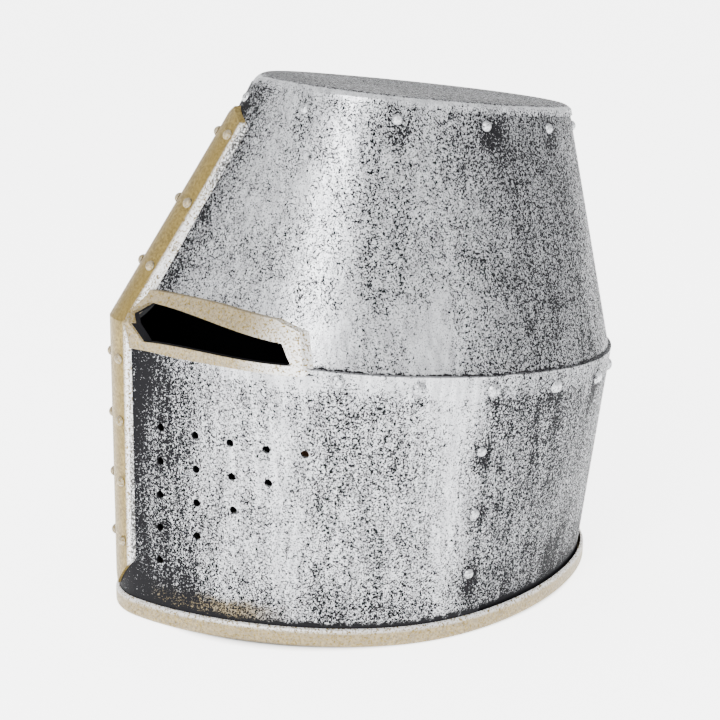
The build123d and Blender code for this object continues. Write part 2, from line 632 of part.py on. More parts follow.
# ---- Buckle -------------------------------------------------------------------------------------------
wire = 2 * WIRE_RADIUS
with BuildPart() as buckle_frame:
    with BuildSketch(Plane.YZ.offset(heel_x - WIRE_RADIUS)):
        with Locations((STRAP_Y, HEEL_HEIGHT - FRAME_HEIGHT / 2)):
            RectangleRounded(FRAME_WIDTH + wire, FRAME_HEIGHT + wire, FRAME_CORNER)
            Rectangle(FRAME_WIDTH - wire, FRAME_HEIGHT - wire, mode=Mode.SUBTRACT)
        with Locations((STRAP_Y, HEEL_HEIGHT)):
            Rectangle(FRAME_WIDTH - wire, 2 * wire, mode=Mode.SUBTRACT)
    extrude(amount=wire)
    fillet(buckle_frame.edges().filter_by(Plane.YZ), FRAME_EDGE)
    with Locations(Location((heel_x, STRAP_Y, HEEL_HEIGHT), (90, 0, 0))):
        Cylinder(WIRE_RADIUS, FRAME_WIDTH)
finish(buckle_frame, "buckle_frame")

prong_drop = FRAME_HEIGHT + WIRE_RADIUS
prong_x = heel_x - WIRE_RADIUS - PRONG_RADIUS - STRAP_CLEARANCE
with BuildPart() as buckle_prong:
    with BuildSketch(Plane.XZ.offset(-STRAP_Y)):
        with Locations((heel_x, HEEL_HEIGHT)):
            Circle(PRONG_EYE_RADIUS)
    extrude(amount=PRONG_EYE_WIDTH / 2, both=True)
    with BuildSketch(Plane.XY.offset(HEEL_HEIGHT)):
        with Locations((prong_x + PRONG_LEAN, STRAP_Y)):
            Circle(PRONG_RADIUS)
    with BuildSketch(Plane.XY.offset(HEEL_HEIGHT - prong_drop)):
        with Locations((prong_x, STRAP_Y)):
            Circle(PRONG_RADIUS)
    loft()
    with BuildSketch(Plane.XZ.offset(-STRAP_Y)):
        with Locations((heel_x, HEEL_HEIGHT)):
            Circle(WIRE_RADIUS + RUNNING_FIT)
    extrude(amount=PRONG_EYE_WIDTH, both=True, mode=Mode.SUBTRACT)
finish(buckle_prong, "buckle_prong")
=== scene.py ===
# %% [markdown]
# # A crusader great helm
# The helm comes from the CAD frame as riveted plates, brass, a liner and chin straps, each a named node.
# Here each surface gets its real finish: black steel dry-brushed with silver, dull gilt, leather, quilting.
# The plates, rivets and fittings keep their CAD shape. The soft liner is made again as stuffed channels.

# %% Load the frame
from math import cos, hypot, pi, radians, sin, sqrt

import bmesh
import bpy
from mathutils import Matrix, Vector, noise
from mathutils.bvhtree import BVHTree


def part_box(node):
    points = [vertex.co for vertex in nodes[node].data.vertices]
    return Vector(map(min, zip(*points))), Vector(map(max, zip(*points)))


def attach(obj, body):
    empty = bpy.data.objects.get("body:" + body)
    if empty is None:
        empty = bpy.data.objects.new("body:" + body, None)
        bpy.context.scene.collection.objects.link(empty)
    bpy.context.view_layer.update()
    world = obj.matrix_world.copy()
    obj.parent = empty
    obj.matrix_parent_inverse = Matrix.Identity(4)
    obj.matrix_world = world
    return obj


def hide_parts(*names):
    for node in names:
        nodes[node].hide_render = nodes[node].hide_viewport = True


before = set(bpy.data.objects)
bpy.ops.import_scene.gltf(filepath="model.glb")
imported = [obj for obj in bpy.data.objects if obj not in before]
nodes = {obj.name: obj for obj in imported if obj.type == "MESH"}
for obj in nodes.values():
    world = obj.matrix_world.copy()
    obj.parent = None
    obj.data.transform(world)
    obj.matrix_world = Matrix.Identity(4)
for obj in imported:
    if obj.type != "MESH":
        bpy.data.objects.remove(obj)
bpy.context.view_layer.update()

# %% [markdown]
# ## Floor, light and camera
# A helm on a white sweep, lit from all round by a white room, with one large soft light in front of
# the wearer's left shoulder. A white room keeps the reflections in the paint calm and even.

# %% Floor
def plane_mesh(name, size, height):
    mesh = bpy.data.meshes.new(name)
    half = size / 2
    corners = [(-half, -half, height), (half, -half, height), (half, half, height), (-half, half, height)]
    mesh.from_pydata(corners, [], [(0, 1, 2, 3)])
    piece = bpy.data.objects.new(name, mesh)
    bpy.context.scene.collection.objects.link(piece)
    return piece


def plain_material(name, colour, roughness):
    material = bpy.data.materials.new(name)
    material.use_nodes = True
    shader = material.node_tree.nodes["Principled BSDF"]
    shader.inputs["Base Color"].default_value = (*colour, 1)
    shader.inputs["Roughness"].default_value = roughness
    return material


FLOOR_GLOW = 4.0              # the floor glows, except in a patch under the helm that stays unlit and darker, a painted shadow
HELM_SHADOW = (0.104, 0.140)  # half width and half length of the part that stays unlit

ground = plane_mesh("floor", 60, -0.0005)
sweep = plain_material("floor_white", (0.95, 0.95, 0.95), 0.9)
links, sweep_nodes = sweep.node_tree.links, sweep.node_tree.nodes
spot = sweep_nodes.new("ShaderNodeVectorMath")
spot.operation = "MULTIPLY"
spot.inputs[1].default_value = (1 / HELM_SHADOW[0], 1 / HELM_SHADOW[1], 0)
away = sweep_nodes.new("ShaderNodeVectorMath")
away.operation = "LENGTH"
lit = sweep_nodes.new("ShaderNodeMapRange")
lit.inputs[1].default_value, lit.inputs[2].default_value = 0.92, 0.98
lit.inputs[4].default_value = FLOOR_GLOW
links.new(sweep_nodes.new("ShaderNodeTexCoord").outputs["Object"], spot.inputs[0])
links.new(spot.outputs[0], away.inputs[0])
links.new(away.outputs["Value"], lit.inputs[0])
links.new(lit.outputs[0], sweep_nodes["Principled BSDF"].inputs["Emission Strength"])
sweep_nodes["Principled BSDF"].inputs["Emission Color"].default_value = (1, 1, 1, 1)
ground.data.materials.append(sweep)
print("floor glows", FLOOR_GLOW)

# %% Light
ROOM_STRENGTH = 1.75

world = bpy.data.worlds.new("studio")
bpy.context.scene.world = world
world.use_nodes = True
world.node_tree.nodes["Background"].inputs["Color"].default_value = (1, 1, 1, 1)
world.node_tree.nodes["Background"].inputs["Strength"].default_value = ROOM_STRENGTH


def soft_light(name, place, aim, size, power):
    data = bpy.data.lights.new(name, "AREA")
    data.shape = "DISK"
    data.size = size
    data.energy = power
    light = bpy.data.objects.new(name, data)
    light.location = place
    light.rotation_euler = (Vector(aim) - Vector(place)).to_track_quat("-Z", "Y").to_euler()
    bpy.context.scene.collection.objects.link(light)


KEY_PLACE, KEY_AIM = (1.3, -1.5, 1.5), (0, 0, 0.15)
KEY_SIZE, KEY_POWER = 0.9, 62

soft_light("key", KEY_PLACE, KEY_AIM, KEY_SIZE, KEY_POWER)

# %% Camera
CAMERA_AZIMUTH = radians(67.25)
CAMERA_DISTANCE = 0.800
CAMERA_HEIGHT = 0.3654
CAMERA_YAW = radians(0.768)
CAMERA_PITCH = radians(-16.42)
CAMERA_ROLL = radians(0.776)
HEAD_Y = 0.0098
FOCAL_SHARE = 1.9883            # focal length over the width of the picture

camera_data = bpy.data.cameras.new("camera")
camera_data.sensor_width = 36
camera_data.lens = 36 * FOCAL_SHARE
camera = bpy.data.objects.new("camera", camera_data)
camera.location = (sin(CAMERA_AZIMUTH) * CAMERA_DISTANCE,
                   HEAD_Y - cos(CAMERA_AZIMUTH) * CAMERA_DISTANCE, CAMERA_HEIGHT)
turn = CAMERA_AZIMUTH + CAMERA_YAW
forward = Vector((-sin(turn) * cos(CAMERA_PITCH), cos(turn) * cos(CAMERA_PITCH), sin(CAMERA_PITCH)))
level_right = forward.cross(Vector((0, 0, 1))).normalized()
level_up = level_right.cross(forward)
right = level_right * cos(CAMERA_ROLL) + level_up * sin(CAMERA_ROLL)
up = level_up * cos(CAMERA_ROLL) - level_right * sin(CAMERA_ROLL)
camera.rotation_euler = Matrix((right, up, -forward)).transposed().to_euler()
bpy.context.scene.collection.objects.link(camera)
bpy.context.scene.camera = camera
print("camera at", [round(v, 3) for v in camera.location])

# %% [markdown]
# ## A few words for writing materials
# A finish is a small sum over the surface, so the helpers below read as sums: noise, calc, ramp and mix.
# Each returns a socket that the next one takes. Places are Object coordinates, in metres, which on
# every piece here are the helm's own coordinates.

# %% Node helpers
def put(tree, kind, inputs=None, **settings):
    """New node with its settings and inputs; an input is a socket to link or a plain value."""
    made = tree.nodes.new(kind)
    for key, value in settings.items():
        setattr(made, key, value)
    for key, value in (inputs or {}).items():
        if isinstance(value, bpy.types.NodeSocket):
            tree.links.new(value, made.inputs[key])
        else:
            made.inputs[key].default_value = value
    return made


def calc(tree, operation, a, b=0.0, clamp=False):
    return put(tree, "ShaderNodeMath", {0: a, 1: b}, operation=operation, use_clamp=clamp).outputs[0]


def spread(tree, value, low, high, to_low=0.0, to_high=1.0):
    """Value eased from the range low..high to another, held at its ends."""
    return put(tree, "ShaderNodeMapRange", {0: value, 1: low, 2: high, 3: to_low, 4: to_high},
               interpolation_type="SMOOTHSTEP").outputs[0]


def ramp(tree, value, stops, interpolation="LINEAR"):
    """Number that follows (position, number) stops."""
    made = put(tree, "ShaderNodeValToRGB", {0: value})
    made.color_ramp.interpolation = interpolation
    elements = made.color_ramp.elements
    elements[0].position, elements[1].position = stops[0][0], stops[-1][0]
    for position, _ in stops[1:-1]:
        elements.new(position)
    for element, (_, number) in zip(elements, stops):
        element.color = (number, number, number, 1)
    return made.outputs[0]


def mix(tree, share, a, b):
    """Colour between two colours, each a socket or an RGB triple."""
    a, b = (c if isinstance(c, bpy.types.NodeSocket) else (*c, 1) for c in (a, b))
    return put(tree, "ShaderNodeMix", {0: share, 6: a, 7: b}, data_type="RGBA").outputs[2]


def stretch(tree, vector, factors):
    return put(tree, "ShaderNodeVectorMath", {0: vector, 1: factors}, operation="MULTIPLY").outputs[0]


def grain(tree, vector, scale, detail=2.0, roughness=0.5, distortion=0.0):
    return put(tree, "ShaderNodeTexNoise", {"Vector": vector, "Scale": scale, "Detail": detail,
                                            "Roughness": roughness, "Distortion": distortion}).outputs["Fac"]


def start_material(name):
    """Material with its tree, its shader, its place on the surface, and that place's X, Y and Z."""
    material = bpy.data.materials.new(name)
    material.use_nodes = True
    tree = material.node_tree
    place = tree.nodes.new("ShaderNodeTexCoord").outputs["Object"]
    axes = put(tree, "ShaderNodeSeparateXYZ", {0: place}).outputs
    return material, tree, tree.nodes["Principled BSDF"], place, axes


def bump(tree, shader, height, strength, distance):
    made = put(tree, "ShaderNodeBump", {"Height": height, "Strength": strength, "Distance": distance})
    tree.links.new(made.outputs[0], shader.inputs["Normal"])


def link(tree, source, shader, name):
    tree.links.new(source, shader.inputs[name])


def repaint(material, *names):
    for name in names:
        for slot in nodes[name].material_slots:
            slot.material = material
    print(material.name, "on", len(names), "nodes")


# %% [markdown]
# ## Where the rivets are
# Each rivet set is one CAD node with many closed rivets. Welding a copy of its points and walking from
# point to point finds each rivet, and the point farthest from the helm's middle is the top of its head.
# The paint needs those places for the dark under every head, partly black flecks and partly a painted shadow.

# %% Rivet heads
AXIS_Y = 0.012                # the helm's middle, in plan


def rivet_heads(name):
    copy = bmesh.new()
    copy.from_mesh(nodes[name].data)
    bmesh.ops.remove_doubles(copy, verts=copy.verts, dist=1e-6)
    waiting, heads = set(copy.verts), []
    while waiting:
        group, edge = [], [waiting.pop()]
        while edge:
            point = edge.pop()
            group.append(point)
            for near in (e.other_vert(point) for e in point.link_edges):
                if near in waiting:
                    waiting.remove(near)
                    edge.append(near)
        top = max(group, key=lambda p: (round(hypot(p.co.x, p.co.y - AXIS_Y), 7), p.co.x))
        heads.append(tuple(top.co))
    copy.free()
    return sorted(heads)


plate_heads = [p for name in ("crown_rivets", "waist_rivets", "left_seam_rivets") for p in rivet_heads(name)
               if p[0] > -0.001]
print("rivet heads on the left half:", len(plate_heads))

# %% [markdown]
# ## Steel, black under silver
# The plates are painted black, then silver is dry-brushed and spattered over it, so black is left as
# small wormy flecks. How much black is left is the coverage: a number from 0 to 1 that changes round
# the helm and up it. A fine noise is then cut at the height that leaves that share of it.
# Coverage is dark beside the bar, over the rim, under the rivets and towards the back, and bright along the
# waist and behind the sights. Over the rim, at the waist lap and under the rivets the dark is partly a
# painted shadow, the bright band under the waist is partly a painted highlight, and the silver is greyed
# towards the back as a painted shade. The upright inner faces are all black, which also serves as a painted
# shade inside the helm.

# %% Plate finish
WAIST_HEIGHT, WAIST_SLOPE = 0.1549, -0.099
CROWN_HEIGHT, CROWN_SLOPE = 0.2887, -0.102
BLACK = (0.006, 0.006, 0.007)
SILVER = (0.56, 0.57, 0.59)
DULL_SILVER = (0.38, 0.385, 0.40)
GREY = (0.125, 0.128, 0.135)
UPPER_COVERAGE = [(0.05, 0.55), (0.08, 0.34), (0.15, 0.20), (0.26, 0.18), (0.30, 0.22), (0.355, 0.42),
                  (0.39, 0.36), (0.44, 0.26), (0.52, 0.38), (0.58, 0.50), (0.62, 0.58), (1.0, 0.58)]
LOWER_COVERAGE = [(0.045, 0.76), (0.09, 0.66), (0.13, 0.45), (0.17, 0.30), (0.24, 0.24), (0.30, 0.42),
                  (0.38, 0.44), (0.43, 0.34), (0.475, 0.15), (0.50, 0.28), (0.54, 0.52), (0.60, 0.62),
                  (1.0, 0.60)]
# share of grey mixed into the silver round the helm, a painted shade near the keel and towards the back
PAINTED_SHADE_GREY = [(0.04, 0.30), (0.10, 0.12), (0.17, 0.02), (0.48, 0.06), (0.54, 0.30), (0.60, 0.50),
               (0.75, 0.62), (1.0, 0.55)]
CUT = [(0.0, 0.64), (0.05, 0.583), (0.15, 0.548), (0.3, 0.517), (0.5, 0.487), (0.7, 0.457), (1.0, 0.36)]
GILT_DARK = (0.060, 0.038, 0.006)
GILT = (0.145, 0.098, 0.018)
GILT_LIGHT = (0.26, 0.185, 0.045)


def round_helm(tree, axes):
    """Share of the half turn from the keel, at 0, to the back, at 1."""
    aside = calc(tree, "ABSOLUTE", axes[0])
    ahead = calc(tree, "SUBTRACT", 0.015, axes[1])
    return calc(tree, "DIVIDE", calc(tree, "ARCTAN2", aside, ahead), pi)


def above(tree, axes, height, slope):
    """Height over a level that falls towards the back."""
    level = calc(tree, "ADD", calc(tree, "MULTIPLY", axes[1], slope), height)
    return calc(tree, "SUBTRACT", axes[2], level)


def rivet_flecks_and_shadow(tree, place):
    """Painted shadow under the rivet heads, together with the black flecks gathered there."""
    shade = 0.0
    flat = stretch(tree, place, (1, 1, 0.6))
    for x, y, z in plate_heads:
        for side in ((1, -1) if x > 0.004 else (1,)):
            centre = (side * x, y, 0.6 * (z - 0.0045))
            apart = put(tree, "ShaderNodeVectorMath", {0: flat, 1: centre}, operation="DISTANCE")
            near = put(tree, "ShaderNodeMapRange", {0: apart.outputs["Value"], 1: 0.0085, 2: 0.004})
            shade = calc(tree, "MAXIMUM", near.outputs[0], shade)
    return shade


def inside_mask(tree, axes):
    """1 where a face looks towards the helm's middle. These inner faces are black, the bare ground coat,
    which also serves as a painted shade inside the helm.
    """
    normal = put(tree, "ShaderNodeTexCoord").outputs["Normal"]
    facing = put(tree, "ShaderNodeSeparateXYZ", {0: normal}).outputs
    outward = calc(tree, "ADD", calc(tree, "MULTIPLY", facing[0], axes[0]),
                   calc(tree, "MULTIPLY", facing[1], calc(tree, "SUBTRACT", axes[1], AXIS_Y)))
    return spread(tree, outward, -0.002, -0.012)


def paint(tree, shader, place, coverage, extra_black_and_shade, gold_share, greying=0.0):
    """Cuts the fleck noise at the coverage and drives the shader with it; greying mixes the silver towards
    grey.
    """
    coverage = calc(tree, "ADD", coverage, 0.0, clamp=True)
    fine = grain(tree, place, 1250, 2.5, 0.65, 0.35)
    blots = grain(tree, place, 620, 2.0, 0.6, 0.2)
    worms = calc(tree, "ADD", calc(tree, "MULTIPLY", fine, 0.66), calc(tree, "MULTIPLY", blots, 0.34))
    cut = ramp(tree, coverage, CUT)
    fleck = spread(tree, calc(tree, "SUBTRACT", worms, cut), -0.014, 0.018)
    fleck = calc(tree, "MAXIMUM", fleck, extra_black_and_shade)
    sheen = grain(tree, stretch(tree, place, (260, 260, 30)), 1.0, 3.0, 0.6)
    bright = mix(tree, spread(tree, sheen, 0.36, 0.64), DULL_SILVER, SILVER)
    bright = mix(tree, spread(tree, grain(tree, place, 1500, 1.0), 0.50, 0.72, 0.0, 0.7), bright, GREY)
    gold = mix(tree, grain(tree, place, 500, 2.0), GILT_DARK, GILT)
    bright = mix(tree, greying, bright, GREY)
    bright = mix(tree, gold_share, bright, gold)
    link(tree, mix(tree, fleck, bright, BLACK), shader, "Base Color")
    link(tree, spread(tree, fleck, 0.0, 1.0, 0.75, 0.0), shader, "Metallic")
    link(tree, spread(tree, fleck, 0.0, 1.0, 0.33, 0.62), shader, "Roughness")
    shader.inputs["Specular IOR Level"].default_value = 0.05
    height = calc(tree, "SUBTRACT", calc(tree, "MULTIPLY", worms, 0.5), calc(tree, "MULTIPLY", fleck, 0.5))
    bump(tree, shader, height, 0.8, 0.0005)


steel, tree, shader, place, axes = start_material("steel_black_under_silver")
turned = round_helm(tree, axes)
waist = above(tree, axes, WAIST_HEIGHT, WAIST_SLOPE)
is_upper = spread(tree, waist, -0.0005, 0.0005)
upper = ramp(tree, turned, UPPER_COVERAGE, "EASE")
lower = ramp(tree, turned, LOWER_COVERAGE, "EASE")
coverage = calc(tree, "ADD", calc(tree, "MULTIPLY", upper, is_upper),
                calc(tree, "MULTIPLY", lower, calc(tree, "SUBTRACT", 1.0, is_upper)))
streaks = grain(tree, stretch(tree, place, (130, 130, 9)), 1.0, 3.0, 0.6)
patches = grain(tree, place, 32, 2.0, 0.5)
coverage = calc(tree, "ADD", coverage, spread(tree, streaks, 0.3, 0.7, -0.11, 0.11))
coverage = calc(tree, "ADD", coverage, spread(tree, patches, 0.35, 0.65, -0.07, 0.07))
# a bright band just under the waist lap, partly silver caught by the brush and partly a painted highlight on
# the lap's edge
lap_highlight_strip = calc(tree, "MULTIPLY", spread(tree, waist, -0.016, -0.008), calc(tree, "SUBTRACT", 1.0, is_upper))
coverage = calc(tree, "SUBTRACT", coverage, calc(tree, "MULTIPLY", lap_highlight_strip, 0.22))
low_down = spread(tree, axes[2], 0.055, 0.018)
coverage = calc(tree, "ADD", coverage, calc(tree, "MULTIPLY", low_down, 0.16))
aside = calc(tree, "ABSOLUTE", axes[0])
beside_bar = calc(tree, "MULTIPLY", spread(tree, aside, 0.028, 0.018), spread(tree, axes[1], 0.0, -0.03))
coverage = calc(tree, "ADD", coverage, calc(tree, "MULTIPLY", beside_bar, 0.12))
# brighter behind the rear ends of the sights
bright_behind_sights = put(tree, "ShaderNodeVectorMath",
            {0: put(tree, "ShaderNodeCombineXYZ", {0: aside, 1: calc(tree, "MULTIPLY", axes[1], 0.5),
                                                   2: axes[2]}).outputs[0],
             1: (0.112, -0.018, 0.170)}, operation="DISTANCE").outputs["Value"]
coverage = calc(tree, "SUBTRACT", coverage, spread(tree, bright_behind_sights, 0.034, 0.008, 0.0, 0.26))
# darker under the rivet heads: black flecks with a painted shadow
coverage = calc(tree, "ADD", coverage, calc(tree, "MULTIPLY", rivet_flecks_and_shadow(tree, place), 0.26))
ragged = calc(tree, "MULTIPLY", calc(tree, "SUBTRACT", grain(tree, place, 240, 3.0, 0.7), 0.5), 0.009)
# a ragged black band just over the rim binding, partly black flecks and partly a painted shade in the corner
# above the rim
over_rim = spread(tree, calc(tree, "ADD", axes[2], ragged), 0.0152, 0.0128)
# a fine dark line just over the waist lap: a painted shadow of the step, with black flecks
over_lap = calc(tree, "ADD", waist, calc(tree, "MULTIPLY", ragged, 0.5))
lap_shadow_line = calc(tree, "MULTIPLY", spread(tree, over_lap, 0.0013, 0.0006), is_upper)
# the cut edges round the sights are black, a painted shade inside the slits
sight_low = spread(tree, axes[2], 0.1582, 0.1586)
sight_high = spread(tree, calc(tree, "ADD", axes[2], calc(tree, "MULTIPLY", aside, 0.1)), 0.1838, 0.1834)
sight_rear = calc(tree, "ADD", aside, calc(tree, "MULTIPLY", calc(tree, "SUBTRACT", axes[2], 0.163), 0.84))
sight_span = calc(tree, "MULTIPLY", spread(tree, aside, 0.0095, 0.0105),
                  spread(tree, sight_rear, 0.1018, 0.1010))
sight_front = spread(tree, axes[1], -0.020, -0.030)
sight_edge_shade = calc(tree, "MULTIPLY", calc(tree, "MULTIPLY", sight_low, sight_high),
                  calc(tree, "MULTIPLY", sight_span, sight_front))
# black over the rim, on the lap line, at the sight edges and on the inner faces, each partly a painted shade
black = calc(tree, "MAXIMUM", calc(tree, "MAXIMUM", over_rim, lap_shadow_line),
             calc(tree, "MAXIMUM", sight_edge_shade, inside_mask(tree, axes)))
gold_height = spread(tree, calc(tree, "ADD", axes[2], calc(tree, "MULTIPLY", ragged, 1.6)), 0.026, 0.019)
gold_reach = calc(tree, "MULTIPLY", spread(tree, turned, 0.035, 0.07), spread(tree, turned, 0.25, 0.17))
gold_share = calc(tree, "MULTIPLY", calc(tree, "MULTIPLY", gold_height, gold_reach), 0.85)
# painted shade: the silver is greyed near the keel and more towards the back
greying = ramp(tree, turned, PAINTED_SHADE_GREY, "EASE")
paint(tree, shader, place, calc(tree, "MAXIMUM", coverage, 0.035), black, gold_share, greying)
repaint(steel, "upper_front_plate", "upper_rear_plate", "lower_front_plate", "lower_rear_plate")

# %% [markdown]
# ## The crown
# The flat top is mid grey, and its rounded edge is nearly white, partly brushed silver and partly a painted
# highlight along the bend. So the coverage here follows the height under the crown's own plane.

# %% Crown finish
crown_paint, tree, shader, place, axes = start_material("crown_black_under_silver")
turned = round_helm(tree, axes)
under_crown = above(tree, axes, CROWN_HEIGHT, CROWN_SLOPE)
flat_top = spread(tree, under_crown, -0.0011, -0.0004)
side_coverage = calc(tree, "MULTIPLY", ramp(tree, turned, UPPER_COVERAGE, "EASE"), 0.75)
patches = spread(tree, grain(tree, place, 24, 2.0), 0.35, 0.65, -0.05, 0.05)
# low coverage round the rounded edge, nearly white: partly brushed silver, partly a painted highlight
edge_highlight_coverage = calc(tree, "MULTIPLY", spread(tree, under_crown, -0.0005, -0.0055), side_coverage)
coverage = calc(tree, "ADD", calc(tree, "MULTIPLY", flat_top, 0.50),
                calc(tree, "MULTIPLY", edge_highlight_coverage, calc(tree, "SUBTRACT", 1.0, flat_top)))
coverage = calc(tree, "ADD", coverage, patches)
paint(tree, shader, place, coverage, inside_mask(tree, axes), 0.0, calc(tree, "MULTIPLY", flat_top, 0.55))
repaint(crown_paint, "crown_plate")

# %% [markdown]
# ## Rivet heads
# Steel heads stand proud, so the brush hit them first: bright silver, with a few dark pits.

# %% Rivet finish
bright_steel, tree, shader, place, axes = start_material("rivets_bright")
RIVET_COVERAGE = 0.10

paint(tree, shader, place, RIVET_COVERAGE, 0.0, 0.0)
repaint(bright_steel, "crown_rivets", "waist_rivets", "left_seam_rivets", "right_seam_rivets")

# %% [markdown]
# ## Gilt brass
# The cross and the rim have a pale, dull gilt over a sandy grain. Silver on the raised long edges of the bar
# and the top of the rim is partly dry-brush and partly a painted highlight, and black in the corner below
# each bar edge is a painted shade.

# %% Gilt finish
def gilt_material(name, silver_and_highlight_mask, black_and_shade_mask):
    """Gilt with a grain; each mask is made by a function of the tree and the axes. One mask lays silver and
    painted highlight, the other black and painted shade.
    """
    material, tree, shader, place, axes = start_material(name)
    sand = grain(tree, place, 620, 3.0, 0.65, 0.3)
    cloud = grain(tree, place, 60, 3.0, 0.6)
    colour = mix(tree, spread(tree, sand, 0.36, 0.66), GILT_DARK, GILT_LIGHT)
    colour = mix(tree, spread(tree, cloud, 0.3, 0.7, 0.35, 0.75), colour, GILT)
    specks = spread(tree, grain(tree, place, 850, 2.0, 0.6), 0.66, 0.72, 0.0, 0.6)
    colour = mix(tree, specks, colour, (0.12, 0.085, 0.04))
    fine = grain(tree, place, 900, 2.5, 0.65, 0.35)
    silver = calc(tree, "MULTIPLY", silver_and_highlight_mask(tree, axes), spread(tree, fine, 0.40, 0.50))
    colour = mix(tree, silver, colour, (0.74, 0.74, 0.74))
    dark = calc(tree, "MULTIPLY", black_and_shade_mask(tree, axes), spread(tree, fine, 0.60, 0.48))
    link(tree, mix(tree, dark, colour, (0.02, 0.018, 0.016)), shader, "Base Color")
    link(tree, spread(tree, dark, 0.0, 1.0, 0.45, 0.0), shader, "Metallic")
    link(tree, spread(tree, sand, 0.3, 0.7, 0.55, 0.40), shader, "Roughness")
    bump(tree, shader, sand, 0.5, 0.0004)
    return material


def bar_edge(tree, axes, low, high):
    """Mask that rises with the distance from the helm's middle plane."""
    return spread(tree, calc(tree, "ABSOLUTE", axes[0]), low, high)


STUD_SILVER = 0.15

# bar: silver on its raised edges, partly a painted highlight; black just outside them, a painted shade in the
# corner
bar_gilt = gilt_material("gilt_bar", lambda tree, axes: bar_edge(tree, axes, 0.0118, 0.0142),
                         lambda tree, axes: bar_edge(tree, axes, 0.0147, 0.0158))
border_gilt = gilt_material(
    "gilt_sights",
    lambda tree, axes: spread(tree, calc(tree, "ABSOLUTE", axes[0]), 0.070, 0.104, 0.12, 0.9),
    inside_mask)
# rim: its top is silvered, partly a painted highlight; its inner face and its bottom edge are dark
rim_gilt = gilt_material(
    "gilt_rim",
    lambda tree, axes: spread(tree, axes[2], 0.0080, 0.0104, 0.10, 0.85),
    lambda tree, axes: calc(tree, "MAXIMUM", inside_mask(tree, axes),
                            spread(tree, axes[2], 0.0015, 0.0002, 0.0, 0.8)))
stud_gilt = gilt_material("gilt_studs", lambda tree, axes: STUD_SILVER, inside_mask)
repaint(bar_gilt, "cross_bar")
repaint(border_gilt, "left_sight_border", "right_sight_border")
repaint(rim_gilt, "rim_binding")
repaint(stud_gilt, "cross_rivets")

# %% [markdown]
# ## Leather
# The bands and the chin straps are brown vegetable-tanned leather, with a pebbled grain and large soft
# patches that have gone darker with sweat and handling.

# %% Leather finish
def leather_material(name, dark, light, scale):
    material, tree, shader, place, axes = start_material(name)
    pebbles = put(tree, "ShaderNodeTexVoronoi", {"Vector": place, "Scale": scale},
                  feature="SMOOTH_F1").outputs["Distance"]
    pores = grain(tree, place, scale * 2.2, 3.0, 0.6)
    wear = grain(tree, place, 45, 3.0, 0.6)
    colour = mix(tree, spread(tree, wear, 0.35, 0.68), dark, light)
    colour = mix(tree, spread(tree, pebbles, 0.55, 0.15, 0.0, 0.35), colour, tuple(c * 0.45 for c in dark))
    link(tree, colour, shader, "Base Color")
    link(tree, spread(tree, wear, 0.3, 0.7, 0.62, 0.44), shader, "Roughness")
    height = calc(tree, "ADD", calc(tree, "MULTIPLY", pebbles, -0.7), calc(tree, "MULTIPLY", pores, 0.3))
    bump(tree, shader, height, 0.45, 0.0005)
    return material


band_strips = [name for name in nodes if name.endswith("_sweatband")]
band_leather = leather_material("leather_band", (0.030, 0.016, 0.009), (0.085, 0.045, 0.022), 900)
strap_hide = leather_material("leather_strap", (0.060, 0.026, 0.011), (0.170, 0.080, 0.034), 1100)
repaint(band_leather, "liner_top_band", *band_strips)
repaint(strap_hide, "left_chin_strap", "right_chin_strap", "strap_keeper")

# %% [markdown]
# ## Small fittings
# The hangers and the buckle are forged iron, blackened and rubbed bright in patches. The pivots, the
# straps' eyes and the hangers' rivets are plain brass that has gone brown in patches.

# %% Fitting finishes
def metal_material(name, worn, tarnished, scale, rough):
    material, tree, shader, place, axes = start_material(name)
    marks = grain(tree, place, scale, 4.0, 0.65, 0.4)
    scratches = grain(tree, stretch(tree, place, (300, 300, 2200)), 1.0, 2.0)
    shine = spread(tree, calc(tree, "ADD", marks, calc(tree, "MULTIPLY", scratches, 0.3)), 0.55, 0.78)
    link(tree, mix(tree, shine, tarnished, worn), shader, "Base Color")
    link(tree, spread(tree, shine, 0.0, 1.0, rough + 0.18, rough), shader, "Roughness")
    shader.inputs["Metallic"].default_value = 0.9
    bump(tree, shader, marks, 0.35, 0.0003)
    return material


iron = metal_material("forged_iron", (0.46, 0.46, 0.47), (0.09, 0.09, 0.095), 300, 0.34)
brass = metal_material("plain_brass", (0.70, 0.48, 0.17), (0.26, 0.16, 0.06), 340, 0.30)
repaint(iron, "left_strap_hanger", "right_strap_hanger", "buckle_frame", "buckle_prong")
repaint(brass, "left_hanger_rivets", "right_hanger_rivets", "left_strap_pivot", "right_strap_pivot",
        "left_strap_eyelet", "right_strap_eyelet")

# %% [markdown]
# ## Quilted linen
# The liner is two layers of dark linen stuffed with tow and sewn into upright channels. Linen is a plain
# weave, so the finish crosses two sets of fine waves, one round the helm and one up it. The waves
# follow the piece's own map, so that the threads run with the channels.

# %% Linen finish
LINEN_DARK = (0.030, 0.026, 0.020)
LINEN_LIGHT = (0.105, 0.092, 0.070)
THREADS_PER_METRE = 950

